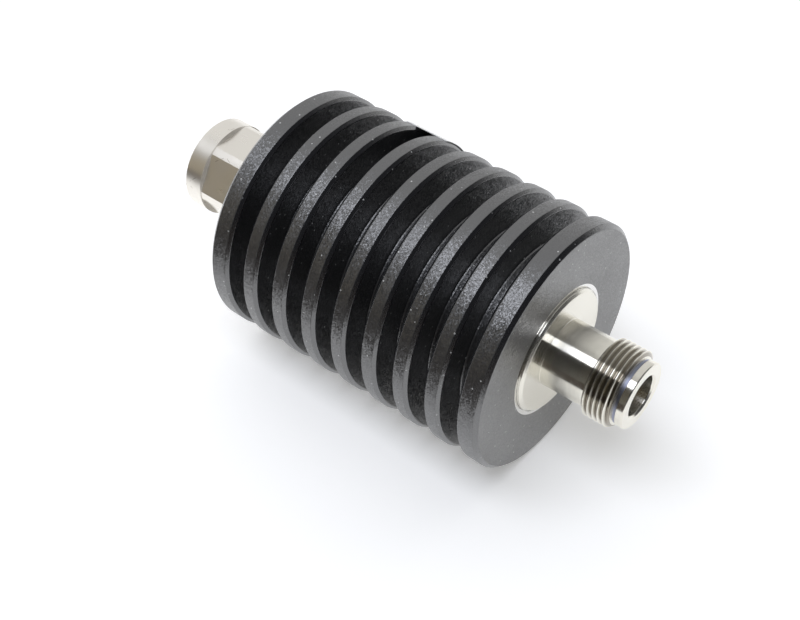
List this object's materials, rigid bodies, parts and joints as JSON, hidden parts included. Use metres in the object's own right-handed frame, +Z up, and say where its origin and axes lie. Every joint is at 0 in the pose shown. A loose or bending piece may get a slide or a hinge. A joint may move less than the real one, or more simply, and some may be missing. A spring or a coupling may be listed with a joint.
{
  "type": "rf attenuator",
  "caption": "Inline coaxial power attenuator: black finned round heatsink with a threaded jack at one end and a plug with a spinning coupling nut at the other.",
  "frame": {"origin": "under the middle of the whole length, on the surface that the fins rest on", "axes": "+X along the attenuator's axis towards the jack, +Z up, the axis level at the fins' radius"},
  "size_m": [0.1032, 0.0501, 0.05],
  "materials": {
    "black_anodised_aluminium": "bead-blasted and black anodised, matt with fine glints",
    "plain_aluminium": "machined, plain",
    "steel_screw": "plain steel",
    "plated_copper": "nickel plate over copper",
    "chip_ceramic": "fired ceramic",
    "resistive_film": "printed film",
    "contact_bronze": "thin gold plate over copper alloy",
    "bright_nickel": "bright nickel plate over brass",
    "satin_nickel": "satin nickel plate over brass",
    "ptfe": "white PTFE",
    "silicone_rubber": "moulded silicone",
    "spring_bronze": "rolled spring bronze",
    "blank_label": "white film label, blank"
  },
  "bodies": {
    "housing": {"heatsink": "black_anodised_aluminium", "core_block": "plain_aluminium", "core_cover": "plain_aluminium", "cover_screws": "steel_screw", "chip_flange": "plated_copper", "chip_screws": "steel_screw", "attenuator_chip": "chip_ceramic", "resistive_film": "resistive_film", "input_tab": "contact_bronze", "output_tab": "contact_bronze", "jack_body": "bright_nickel", "jack_insulator": "ptfe", "jack_center_contact": "contact_bronze", "plug_body": "bright_nickel", "plug_contact_sleeve": "contact_bronze", "plug_insulator": "ptfe", "plug_center_pin": "contact_bronze", "plug_gasket": "silicone_rubber", "nut_retaining_ring": "spring_bronze", "label": "blank_label"},
    "nut": {"coupling_nut": "satin_nickel"}
  },
  "joints": [
    {"name": "coupling_nut_spin", "type": "hinge", "parent": "housing", "child": "nut", "pos_m": [-0.04215, 0, 0.025], "axis": [-1, 0, 0], "continuous": true}
  ]
}
